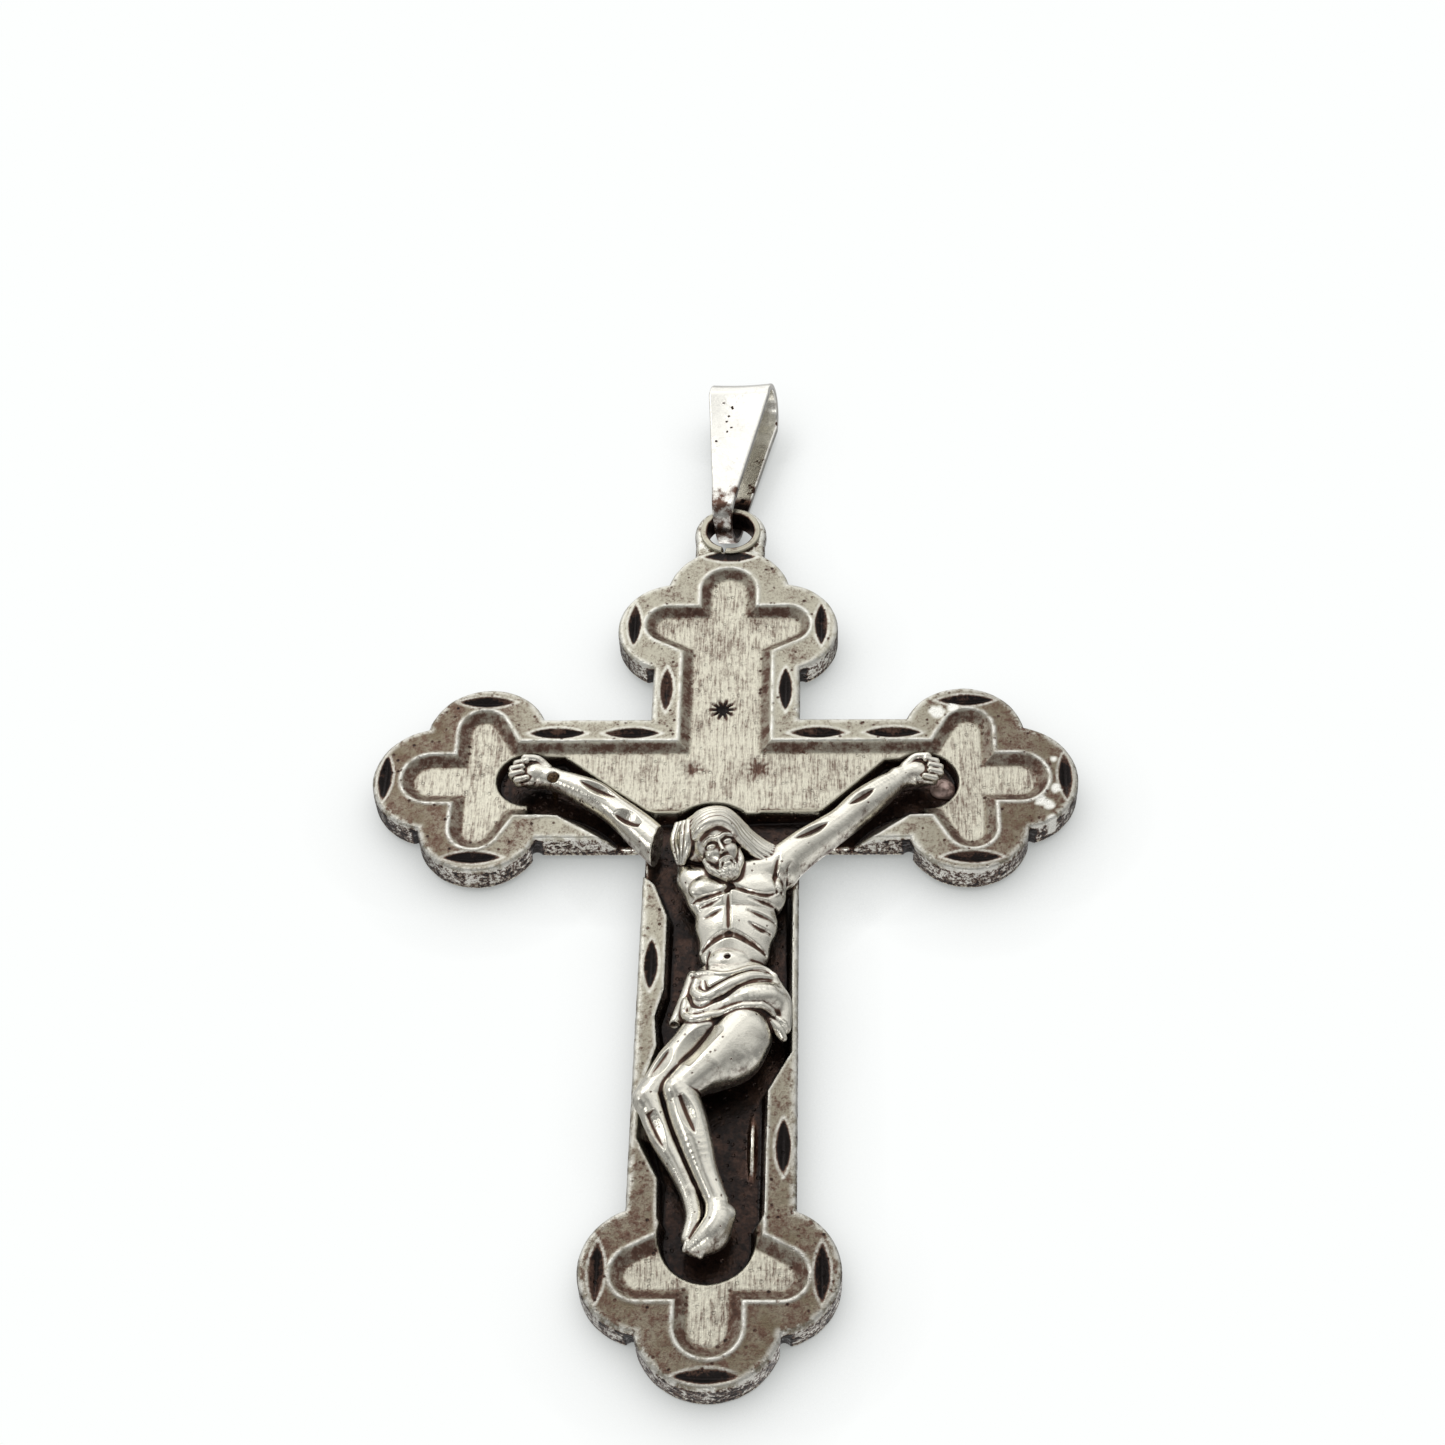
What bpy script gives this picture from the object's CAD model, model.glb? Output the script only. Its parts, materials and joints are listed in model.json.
"""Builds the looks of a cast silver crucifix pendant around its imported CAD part.

Shapes are modelled in "plan" millimetres: x across, y up the cross, z out of the front. Every piece is
sculpted as a block of signed distances, which is then skinned with quads, so that edges, folds and cuts are
real geometry.
"""

import json
import math

import bpy
import numpy as np
from mathutils import Matrix, Vector


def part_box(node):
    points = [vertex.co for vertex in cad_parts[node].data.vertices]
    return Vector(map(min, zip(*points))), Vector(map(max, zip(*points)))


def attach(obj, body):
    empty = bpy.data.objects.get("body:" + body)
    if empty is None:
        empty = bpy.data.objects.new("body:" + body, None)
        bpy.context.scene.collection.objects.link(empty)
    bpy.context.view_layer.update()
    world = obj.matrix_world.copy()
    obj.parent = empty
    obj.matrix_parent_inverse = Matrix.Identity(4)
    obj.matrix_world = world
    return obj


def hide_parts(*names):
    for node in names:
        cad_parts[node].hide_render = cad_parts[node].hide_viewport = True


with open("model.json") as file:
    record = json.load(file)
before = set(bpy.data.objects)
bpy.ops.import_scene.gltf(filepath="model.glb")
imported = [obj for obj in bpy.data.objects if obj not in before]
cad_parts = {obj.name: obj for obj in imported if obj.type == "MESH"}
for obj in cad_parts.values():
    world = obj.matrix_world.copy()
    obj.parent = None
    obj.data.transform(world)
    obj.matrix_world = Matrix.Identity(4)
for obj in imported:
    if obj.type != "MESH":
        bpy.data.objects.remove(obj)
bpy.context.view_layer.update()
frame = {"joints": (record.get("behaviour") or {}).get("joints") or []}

MM = 0.001
FAR = 9.0


# ---------------------------------------------------------------- measures taken from the CAD part


def plan_box(node):
    """Lowest and highest corner of a CAD node, in plan millimetres."""
    low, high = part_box(node)
    return np.array([low.x, low.z, -high.y]) / MM, np.array([high.x, high.z, -low.y]) / MM


def to_plan(row_point):
    """A point or direction of the row frame, turned into plan axes."""
    x, y, z = row_point
    return np.array([x, z, -y])


def to_row(points):
    """Plan points or directions, one in each line, turned into the row frame's axes."""
    return np.stack([points[:, 0], -points[:, 2], points[:, 1]], 1)


joints = {joint["name"]: joint for joint in frame["joints"]}
plate_low, plate_high = plan_box("cross_plate")
ring_low, ring_high = plan_box("suspension_ring")
bail_low, bail_high = plan_box("bail")
nail_low, nail_high = plan_box("hand_nail")
solder_low, solder_high = plan_box("hand_solder")

FRONT = plate_high[2]
LUG_Y = to_plan(joints["ring_turn"]["pos_m"])[1] / MM
LUG_R = plate_high[1] - LUG_Y
BAIL_PIVOT = to_plan(joints["bail_swing"]["pos_m"]) / MM

# The cross's outline, as in the CAD source
ARM_HALF = 5.0
END_LOBE_R = 4.3
END_LOBE_OUT = 3.35
SIDE_LOBE_R = 4.05
SIDE_LOBE_AT = (3.55, 0.3)
BUD_REACH = END_LOBE_OUT + END_LOBE_R
BUD_TOP = 12.8
BUD_SIDE = plate_high[0] - BUD_REACH
BUD_BOTTOM = -plate_low[1] - BUD_REACH
BUDS = [(0, BUD_TOP), (90, BUD_SIDE), (-90, BUD_SIDE), (180, BUD_BOTTOM)]
NOTCH_R = 0.4
NOTCH_INSET = 0.1

# The recess and the pocket
RECESS_DEPTH = 0.45
BEVEL_RUN = 0.75
CHANNEL_HALF = 3.05
END_FINGER_R = 1.95
SIDE_FINGER_R = 1.65
FINGER_REACH = 5.7
SIDE_FINGER_OUT = 0.55
SIDE_FINGER_SLANT_TO = (0.5, -1.4)
POCKET_DEPTH = 1.35
POCKET_DISCS = [(-12.9, 0.2, 2.25), (13.1, 0.0, 2.45), (-0.6, -5.0, 3.3), (-0.2, -33.2, 2.9)]
POCKET_OUTLINE = [
    (-12.9, 2.2), (-10.6, 2.2), (-4.4, -2.7), (6.2, -2.5), (10.6, 1.9), (13.1, 2.0),
    (13.4, -3.0), (12.2, -3.1), (9.0, -5.4), (5.4, -8.4), (4.6, -9.0),
    (4.6, -20.9), (3.2, -23.6), (3.1, -31.8), (1.6, -34.5),
    (-1.8, -34.5), (-3.15, -32.0), (-3.2, -29.5), (-4.6, -26.8),
    (-4.6, -23.8), (-3.6, -20.4), (-3.8, -18.4), (-3.3, -16.4), (-3.3, -11.0),
    (-4.2, -8.6), (-5.4, -7.4), (-7.2, -5.4), (-10.8, -3.1), (-13.0, -2.9),
]

POCKET_WALL = 0.28
# Where the pocket's wall is sloped: x, y, size and extra width
POCKET_SLOPES = [(-4.6, -24.6, 3.0, 1.3), (-9.2, -4.4, 2.6, 1.1), (10.8, -4.3, 2.4, 1.2)]
# A burnished streak down the pocket's floor, beside the shins
STREAK_AT = (2.3, -27)
STREAK_HALF_LENGTH = 2.6
STREAK_R = 0.32
STREAK_HEIGHT = 0.3

# Lens-shaped cuts and star marks
LENS_LENGTH = 3.9
LENS_WIDTH = 0.95
LENS_DEPTH = 0.35
END_LENS_OUT = 6.8
SIDE_LENS_AT = (6.45, 0.5)
WEB_X = -0.3
WEB_HALF = 0.2
ARM_LENSES = [
    (4.03, 7.5, 90), (-4.03, 7.5, 90),
    (6.2, 3.73, 0), (-6.2, 3.73, 0), (11.2, 3.73, 0), (-11.2, 3.73, 0),
    (-4.18, -14.6, 90), (4.18, -27.4, 90),
]
STAR_MARKS = [(-0.2, 6.1, 0.26), (-2.2, 1.0, 0.07), (2.3, 1.0, 0.07)]
STAR_R = 1.0
STAR_RAYS = 5
STAR_RAY_HALF = 0.11

# The lug and the ring
BORE_R = 1.95
LUG_FRONT = FRONT - 0.1
LUG_BACK = LUG_FRONT - 1.2
LUG_NECK_HALF = 2.45
LUG_NECK_LENGTH = 3.0
RING_PLAY = 0.03
RING_TUBE_R = BORE_R - RING_PLAY
RING_INNER_R = RING_TUBE_R - 0.27
RIM = 0.22

# The bail
STRIP = 0.5
TIP_WIDTH = 1.2
SHOULDER_WIDTH = 2.0
SHOULDER_Y = 1.6
TOP_WIDTH = 4.5
TIP_BEND_R = 1.42
TOP_BEND_R = 1.65
BAIL_LENGTH = 10.1
# Small black pits down the front of the strip
BAIL_PITS = [
    (-0.35, 8.9), (-0.3, 8.75), (-0.5, 8.0), (-0.6, 7.5),
    (-0.2, 6.9), (-0.45, 6.5), (-1.15, 5.6), (-1.0, 9.3),
]
PIT_R = 0.09
BAIL_LEAN = 6
BAIL_TWIST = 8
BAIL_TILT = 3
SEAM_TURN = 14

# The border gets gradually darker between these heights, towards the foot
FOOT_TARNISH = (-12, -34)
# It does so too between these distances from the middle, towards the ends of the arms
ARM_TARNISH = (11, 18)
# Bare spots where the tarnish is gone: x, y and radius
BARE_SPOTS = [
    (14.17, 5.42, 0.5), (15.24, 5.83, 0.42), (21.76, -0.97, 0.36), (20.7, -1.97, 0.42),
    (21.2, -2.3, 0.35), (21.38, -3.55, 0.4), (21.67, 1.45, 0.22),
]

# The corpus. Its heights are counted from the border's front face.
CORPUS_BACK = -0.85
# Cast studs that stand on the pocket's floor: x, y and radius
STUDS = [(1.0, -16.6, 1.1), (1.0, -11.0, 1.1), (-0.6, -33.2, 0.55)]
# The break of the arm at the viewer's left
BREAK_AT = (-4.0, -5.6)
BREAK_TURN = -14
NAIL_AT = (nail_low + nail_high)[:2] / 2
SOLDER_AT = (solder_low + solder_high)[:2] / 2


# ---------------------------------------------------------------- sculpting in blocks of signed distances


def soft_min(a, b, blend):
    """The lesser of two distances, with the crease between them filled to about that width."""
    if blend <= 0:
        return np.minimum(a, b)
    overlap = np.maximum(blend - np.abs(a - b), 0) / blend
    return np.minimum(a, b) - overlap * overlap * blend / 4


def soft_max(a, b, blend):
    return -soft_min(-a, -b, blend)


def round_max(a, b, radius):
    """The overlap of two shapes, with the edge between them rounded to a radius."""
    a, b = a + radius, b + radius
    return np.hypot(np.maximum(a, 0), np.maximum(b, 0)) + np.minimum(np.maximum(a, b), 0) - radius


def ramp(value, zero_at, one_at):
    """Runs from 0 to 1 while the value runs between two marks, and stays level outside them."""
    return np.clip((value - zero_at) / (one_at - zero_at), 0, 1)


def hump(value, middle, width):
    """A smooth rise to 1 at the middle."""
    return np.exp(-(((value - middle) / width) ** 2))


def turned(x, y, degrees):
    """Coordinates as seen from axes turned by that much."""
    c, s = math.cos(math.radians(degrees)), math.sin(math.radians(degrees))
    return x * c + y * s, y * c - x * s


class Rod:
    """A round rod whose radius runs from one end's to the other's. Ends are (x, y, z, radius)."""

    def __init__(self, start, end):
        self.start, self.end = np.array(start[:3], float), np.array(end[:3], float)
        self.radii = start[3], end[3]
        reach = max(self.radii)
        self.low = np.minimum(self.start, self.end) - reach
        self.high = np.maximum(self.start, self.end) + reach

    def distance(self, x, y, z):
        (ax, ay, az), (dx, dy, dz) = self.start, self.end - self.start
        length2 = max(dx * dx + dy * dy + dz * dz, 1e-9)
        t = np.clip(((x - ax) * dx + (y - ay) * dy + (z - az) * dz) / length2, 0, 1)
        away = np.sqrt((x - ax - t * dx) ** 2 + (y - ay - t * dy) ** 2 + (z - az - t * dz) ** 2)
        return away - (self.radii[0] + t * (self.radii[1] - self.radii[0]))


class Ball:
    """A ball squeezed to three radii, then turned."""

    def __init__(self, centre, radii, turn=None):
        self.centre = np.array(centre, float)
        self.radii = np.array(radii, float) * np.ones(3)
        self.turn = np.eye(3) if turn is None else turn
        reach = np.sqrt(((self.turn * self.radii) ** 2).sum(1))
        self.low, self.high = self.centre - reach, self.centre + reach

    def distance(self, x, y, z):
        offset = (x - self.centre[0], y - self.centre[1], z - self.centre[2])
        near, nearer = 0.0, 0.0
        for axis in range(3):
            along = sum(offset[i] * self.turn[i, axis] for i in range(3)) / self.radii[axis]
            near = near + along * along
            nearer = nearer + (along / self.radii[axis]) ** 2
        near = np.sqrt(near)
        return near * (near - 1) / np.maximum(np.sqrt(nearer), 1e-6)


def limb(stations):
    """Rods from each station to the next."""
    return [Rod(a, b) for a, b in zip(stations, stations[1:])]


def curve(stations, steps=5):
    """A smooth path through stations of any size, with that many steps between each two."""
    points = np.array(stations, float)
    padded = np.concatenate([2 * points[:1] - points[1:2], points, 2 * points[-1:] - points[-2:-1]])
    path = []
    for before, a, b, after in zip(padded, padded[1:], padded[2:], padded[3:]):
        for t in np.arange(steps) / steps:
            bend = (2 * before - 5 * a + 4 * b - after) * t**2 + (3 * a - before - 3 * b + after) * t**3
            path.append(a + ((b - before) * t + bend) / 2)
    return path + [points[-1]]


class Clay:
    """A block of signed distances, negative inside, that shapes are added to and cut from."""

    def __init__(self, low, high, cell):
        self.low, self.cell = np.array(low, float), cell
        counts = np.ceil((np.array(high) - self.low) / cell).astype(int) + 1
        self.field = np.full(counts, FAR, np.float32)

    def fill(self, field):
        """Takes on distances for the whole block."""
        self.field[:] = field

    def axes(self, first=(0, 0, 0), last=None):
        last = self.field.shape if last is None else last
        lines = [self.low[i] + self.cell * np.arange(first[i], last[i], dtype=np.float32) for i in range(3)]
        return np.meshgrid(*lines, indexing="ij", sparse=True)

    def window(self, shapes, margin):
        """The part of the block round some shapes, with its coordinates."""
        low = np.min([s.low for s in shapes], 0) - margin
        high = np.max([s.high for s in shapes], 0) + margin
        first = np.clip(np.floor((low - self.low) / self.cell), 0, self.field.shape).astype(int)
        last = np.clip(np.ceil((high - self.low) / self.cell) + 1, 0, self.field.shape).astype(int)
        last = np.maximum(last, first)
        return tuple(slice(a, b) for a, b in zip(first, last)), self.axes(first, last)

    def nearest(self, shapes, margin):
        part, (x, y, z) = self.window(shapes, margin)
        if self.field[part].size == 0:
            return part, None
        distance = shapes[0].distance(x, y, z)
        for shape in shapes[1:]:
            distance = np.minimum(distance, shape.distance(x, y, z))
        return part, distance

    def add(self, shapes, blend=0.2, margin=0.7):
        part, distance = self.nearest(shapes, margin)
        if distance is not None:
            self.field[part] = soft_min(self.field[part], distance, blend)

    def cut(self, shapes, blend=0.1, margin=0.5):
        part, distance = self.nearest(shapes, margin)
        if distance is not None:
            self.field[part] = soft_max(self.field[part], -distance, blend)

    def top_at(self, x, y):
        """Height of the highest skin over a point, or the block's floor where there is none."""
        i, j = (int(round((v - low) / self.cell)) for v, low in zip((x, y), self.low))
        column = self.field[i, j]
        inside = np.flatnonzero(column[:-1] < 0)
        if inside.size == 0:
            return self.low[2]
        k = inside[-1]
        return self.low[2] + self.cell * (k + column[k] / (column[k] - column[k + 1]))

    def draped(self, points, lift):
        """A smooth strand laid on the skin through (x, y, radius) points, lifted by so many of its radii."""
        return limb([(x, y, self.top_at(x, y) + lift * r, r) for x, y, r in curve(points)])

    def strand(self, stations, blend):
        """Adds a smooth rod through (x, y, z, radius) stations."""
        self.add(limb(curve(stations)), blend)

    def facet(self, start, end, width, depth):
        """A pointed cut from a V-edged wheel, with its depth below the skin at its middle."""
        start, end = np.array(start, float), np.array(end, float)
        middle, along = (start + end) / 2, (end - start) / 2
        half = np.hypot(*along)
        ux, uy = along / half
        top = self.top_at(*middle)
        reach = [*np.abs(along) + width, 1.0]
        spot = Ball([*middle, top], reach)
        part, (x, y, z) = self.window([spot], 0)
        u = ((x - middle[0]) * ux + (y - middle[1]) * uy) / half
        v = (x - middle[0]) * -uy + (y - middle[1]) * ux
        valley = top - depth * (1 - u * u) + np.abs(v) * depth / (width / 2) * 0.8
        beyond = np.maximum(np.abs(u) - 1, np.abs(v) - width) * FAR
        self.field[part] = np.maximum(self.field[part], np.minimum(z - valley, -beyond) * 0.8)


def sample(block, points):
    """A block's values at points given in cells, read between the cells."""
    base = np.clip(np.floor(points).astype(int), 0, np.array(block.shape) - 2)
    share = np.clip(points - base, 0, 1)
    total = np.zeros(len(points))
    for corner in np.ndindex(*(2,) * block.ndim):
        weight = np.prod(np.where(corner, share, 1 - share), axis=1)
        total += weight * block[tuple((base + corner).T)]
    return total


def steepness(block, points, step=0.8):
    """Slope of a block at points, along each axis."""
    slopes = []
    for axis in range(3):
        move = np.zeros(3)
        move[axis] = step
        slopes.append((sample(block, points + move) - sample(block, points - move)) / (2 * step))
    return np.stack(slopes, 1)


def apart_along(axis, distance):
    """Slices that pair every cell of a block with the one that far behind it."""
    ahead, behind = [slice(None)] * 3, [slice(None)] * 3
    ahead[axis] = slice(distance, None)
    behind[axis] = slice(None, -distance)
    return tuple(ahead), tuple(behind)


def skin(block):
    """The skin where a block crosses nought: one point in each crossed cell, in cells, and quads."""
    inside = block < 0
    corners = [
        inside[tuple(slice(first, size - 1 + first) for first, size in zip(corner, inside.shape))]
        for corner in np.ndindex(2, 2, 2)
    ]
    crossed = np.logical_or.reduce(corners) & ~np.logical_and.reduce(corners)
    cells = np.argwhere(crossed)
    number = np.full(crossed.shape, -1, np.int32)
    number[crossed] = np.arange(len(cells))
    total, hits = np.zeros((len(cells), 3)), np.zeros(len(cells))
    quads = []
    for axis in range(3):
        b, c = (axis + 1) % 3, (axis + 2) % 3
        step = np.eye(3, dtype=int)
        for corner in ((0, 0), (0, 1), (1, 0), (1, 1)):
            offset = step[b] * corner[0] + step[c] * corner[1]
            start = cells + offset
            f0, f1 = block[tuple(start.T)], block[tuple((start + step[axis]).T)]
            crosses = (f0 < 0) != (f1 < 0)
            t = np.where(crosses, f0 / np.where(crosses, f0 - f1, 1), 0)
            total += np.where(crosses[:, None], offset + t[:, None] * step[axis], 0)
            hits += crosses
        ahead, behind = apart_along(axis, 1)
        edges = np.argwhere(inside[ahead] != inside[behind])
        across, limits = edges[:, [b, c]], np.array(crossed.shape)[[b, c]]
        edges = edges[((across > 0) & (across < limits)).all(1)]
        ring = [edges - step[b] - step[c], edges - step[c], edges, edges - step[b]]
        quad = np.stack([number[tuple(r.T)] for r in ring], 1)
        outward = inside[tuple(edges.T)]
        quads.append(np.where(outward[:, None], quad, quad[:, ::-1]))
    return cells + total / hits[:, None], np.concatenate(quads)


def settle(block, points, rounds=2, most=0.4):
    """Moves points of a skin onto the true surface."""
    for _ in range(rounds):
        slope = steepness(block, points)
        length2 = np.maximum((slope * slope).sum(1), 1e-12)
        move = -(sample(block, points) / length2)[:, None] * slope
        length = np.maximum(np.linalg.norm(move, axis=1), 1e-9)
        points = points + move * np.minimum(1, most / length)[:, None]
    return points


def mean_of_box(block, reach):
    """Mean of a block over that many cells each way, along every axis."""
    width = 2 * reach + 1
    for axis in range(3):
        pad = [(0, 0)] * 3
        pad[axis] = (reach + 1, reach)
        running = np.pad(block, pad, mode="edge").cumsum(axis, dtype=np.float32)
        ahead, behind = apart_along(axis, width)
        block = (running[ahead] - running[behind]) / width
    return block


def hollowness(clay, points, reach_mm):
    """How enclosed the skin is: 0 on flats, towards 1 in crevices and towards -1 on sharp edges."""
    solid = np.clip(0.5 - clay.field / clay.cell, 0, 1).astype(np.float32)
    reach = max(1, int(round(reach_mm / clay.cell / 2)))
    blurred = mean_of_box(mean_of_box(solid, reach), reach)
    return (sample(blurred, points) - 0.5) * 2


def ripple(x, y, size, seed):
    """Gentle seeded waves of about that size, between -1 and 1."""
    waves = 7
    rng = np.random.default_rng(seed)
    total = 0.0
    for turn, phase, stretch in rng.uniform((0, 0, 0.7), (math.tau, math.tau, 1.5), (waves, 3)):
        total = total + np.sin((x * math.cos(turn) + y * math.sin(turn)) * math.tau * stretch / size + phase)
    return total / waves


def skin_object(name, clay, place=None, attributes=None):
    """A smooth quad mesh of the clay's skin, carried to its place by a 4x4 matrix, in plan millimetres."""
    cells, quads = skin(clay.field)
    cells = settle(clay.field, cells)
    normals = steepness(clay.field, cells)
    normals /= np.maximum(np.linalg.norm(normals, axis=1), 1e-9)[:, None]
    values = {"crevice": hollowness(clay, cells, 0.35), "shade": hollowness(clay, cells, 1.1)}
    points = clay.low + cells * clay.cell
    if attributes:
        values.update(attributes(points))
    if place is not None:
        points = points @ place[:3, :3].T + place[:3, 3]
        normals = normals @ place[:3, :3].T
    mesh = bpy.data.meshes.new(name)
    mesh.vertices.add(len(points))
    mesh.vertices.foreach_set("co", (to_row(points) * MM).ravel())
    mesh.loops.add(quads.size)
    mesh.loops.foreach_set("vertex_index", quads.ravel())
    mesh.polygons.add(len(quads))
    mesh.polygons.foreach_set("loop_start", np.arange(0, quads.size, 4))
    mesh.update(calc_edges=True)
    mesh.validate()
    mesh.shade_smooth()
    mesh.normals_split_custom_set_from_vertices(to_row(normals))
    for key, value in values.items():
        mesh.attributes.new(key, "FLOAT", "POINT").data.foreach_set("value", value.astype(np.float32))
    piece = bpy.data.objects.new(name, mesh)
    bpy.context.scene.collection.objects.link(piece)
    return piece


# ---------------------------------------------------------------- the cross plate


def disc(x, y, cx, cy, radius):
    return np.hypot(x - cx, y - cy) - radius


def slab(height, low, high):
    """Distance to the space between two levels."""
    return np.abs(height - (low + high) / 2) - (high - low) / 2


def block_2d(x, y, cx, cy, half_x, half_y):
    dx, dy = np.abs(x - cx) - half_x, np.abs(y - cy) - half_y
    return np.hypot(np.maximum(dx, 0), np.maximum(dy, 0)) + np.minimum(np.maximum(dx, dy), 0)


def stripe(x, y, start, end, radius):
    """Distance to a round-ended stripe."""
    (ax, ay), (bx, by) = start, end
    dx, dy = bx - ax, by - ay
    t = np.clip(((x - ax) * dx + (y - ay) * dy) / (dx * dx + dy * dy), 0, 1)
    return np.hypot(x - ax - t * dx, y - ay - t * dy) - radius


def polygon(x, y, corners):
    away = np.full(np.broadcast(x, y).shape, FAR)
    inside = np.zeros(away.shape, bool)
    for (ax, ay), (bx, by) in zip(corners, corners[1:] + corners[:1]):
        away = np.minimum(away, stripe(x, y, (ax, ay), (bx, by), 0))
        if ay != by:
            inside ^= ((ay > y) != (by > y)) & (x < (bx - ax) * (y - ay) / (by - ay) + ax)
    return np.where(inside, -away, away)


def bud_views(x, y):
    """Coordinates as seen from each bud: across it, and out from its middle."""
    for turn, out in BUDS:
        u, v = turned(x, y, turn)
        yield u, v - out


def from_bud(turn, out, u, v):
    """Where a point of a bud lies on the cross."""
    return turned(u, v + out, -turn)


def arms(x, y, half):
    """The cross's straight arms, as far as the middles of its buds."""
    upright = block_2d(x, y, 0, (BUD_TOP - BUD_BOTTOM) / 2, half, (BUD_TOP + BUD_BOTTOM) / 2)
    return np.minimum(upright, block_2d(x, y, 0, 0, BUD_SIDE, half))


def outline(x, y):
    """Distance to the cross's edge, seen from the front."""
    edge = arms(x, y, ARM_HALF)
    for u, v in bud_views(x, y):
        edge = np.minimum(edge, disc(u, v, 0, END_LOBE_OUT, END_LOBE_R))
        edge = np.minimum(edge, disc(np.abs(u), v, *SIDE_LOBE_AT, SIDE_LOBE_R))
    return edge


def recess(x, y):
    """Distance to the upper edge of the recess."""
    edge = arms(x, y, CHANNEL_HALF)
    end_tip = (0, FINGER_REACH - END_FINGER_R)
    side_tip = (FINGER_REACH - SIDE_FINGER_R, SIDE_FINGER_OUT)
    for u, v in bud_views(x, y):
        edge = np.minimum(edge, stripe(u, v, (0, 0), end_tip, END_FINGER_R))
        for root in ((0, SIDE_FINGER_OUT), SIDE_FINGER_SLANT_TO):
            edge = np.minimum(edge, stripe(np.abs(u), v, side_tip, root, SIDE_FINGER_R))
    return edge


def pocket(x, y):
    """Distance to the edge of the pocket behind the corpus."""
    edge = polygon(x, y, POCKET_OUTLINE)
    for cx, cy, radius in POCKET_DISCS:
        edge = np.minimum(edge, disc(x, y, cx, cy, radius))
    return edge


def pocket_wall(x, y):
    """Width of the pocket's wall: steep, but sloped beside the knee and under both arms."""
    width = POCKET_WALL
    for cx, cy, size, extra in POCKET_SLOPES:
        width = width + extra * hump(np.hypot(x - cx, y - cy), 0, size)
    return width


def lens_cuts():
    """Middle and turn of every lens-shaped cut."""
    for turn, out in BUDS:
        yield (*from_bud(turn, out, 0, END_LENS_OUT), turn)
        for side in (-1, 1):
            yield (*from_bud(turn, out, side * SIDE_LENS_AT[0], SIDE_LENS_AT[1]), turn + 90)
    yield from ARM_LENSES


def lens_depth(x, y):
    """Depth of the lens cuts, negative outside them."""
    deepest = np.full(np.broadcast(x, y).shape, -1.0)
    for cx, cy, turn in lens_cuts():
        u, v = turned(x - cx, y - cy, turn)
        depth = LENS_DEPTH * (1 - (2 * u / LENS_LENGTH) ** 2) - np.abs(v) * LENS_DEPTH / (LENS_WIDTH / 2)
        deepest = np.maximum(deepest, depth)
    # A thin web was left across the cut below the lug
    from_web = np.abs(x - WEB_X)
    web = (from_web < 0.3) & (y > BUD_TOP + SIDE_LENS_AT[0])
    return np.where(web, deepest * np.clip(from_web / WEB_HALF, 0.2, 1), deepest)


def star_depth(x, y):
    """Depth of the punched stars: a round middle and thin rays."""
    deepest = np.zeros(np.broadcast(x, y).shape)
    for cx, cy, depth in STAR_MARKS:
        middle = 1.3 - np.hypot(x - cx, y - cy) / (0.3 * STAR_R)
        deepest = np.maximum(deepest, depth * np.clip(middle, 0, 1))
        for ray in range(STAR_RAYS):
            u, v = turned(x - cx, y - cy, ray * 180 / STAR_RAYS)
            reach = 1 - (u / STAR_R) ** 2
            deepest = np.maximum(deepest, depth * reach * np.clip(1.2 - np.abs(v) / STAR_RAY_HALF, 0, 1))
    return deepest


def notch_corners():
    """Inside corners of the outline: between lobes, and where a side lobe meets the arm."""
    lobe, side = np.array([0, END_LOBE_OUT]), np.array(SIDE_LOBE_AT)
    apart = side - lobe
    gap = np.hypot(*apart)
    along = (END_LOBE_R**2 - SIDE_LOBE_R**2 + gap**2) / (2 * gap)
    across = math.sqrt(END_LOBE_R**2 - along**2)
    between = lobe + (apart * along + np.array([-apart[1], apart[0]]) * across) / gap
    drop = math.sqrt(SIDE_LOBE_R**2 - (ARM_HALF - SIDE_LOBE_AT[0]) ** 2)
    at_arm = (ARM_HALF, SIDE_LOBE_AT[1] - drop)
    for turn, out in BUDS:
        for side in (-1, 1):
            for corner in (between, at_arm):
                yield from_bud(turn, out, side * (corner[0] + NOTCH_INSET), corner[1])


def bare_spots(x, y):
    """1 inside the ragged bare spots, 0 outside."""
    inside = np.zeros(np.broadcast(x, y).shape)
    for cx, cy, r in BARE_SPOTS:
        distance = np.hypot(x - cx, y - cy) / r + 0.35 * ripple(x, y, 0.6, 8)
        inside = np.maximum(inside, np.clip(1.1 - distance, 0, 0.2) * 5)
    return inside


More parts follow.
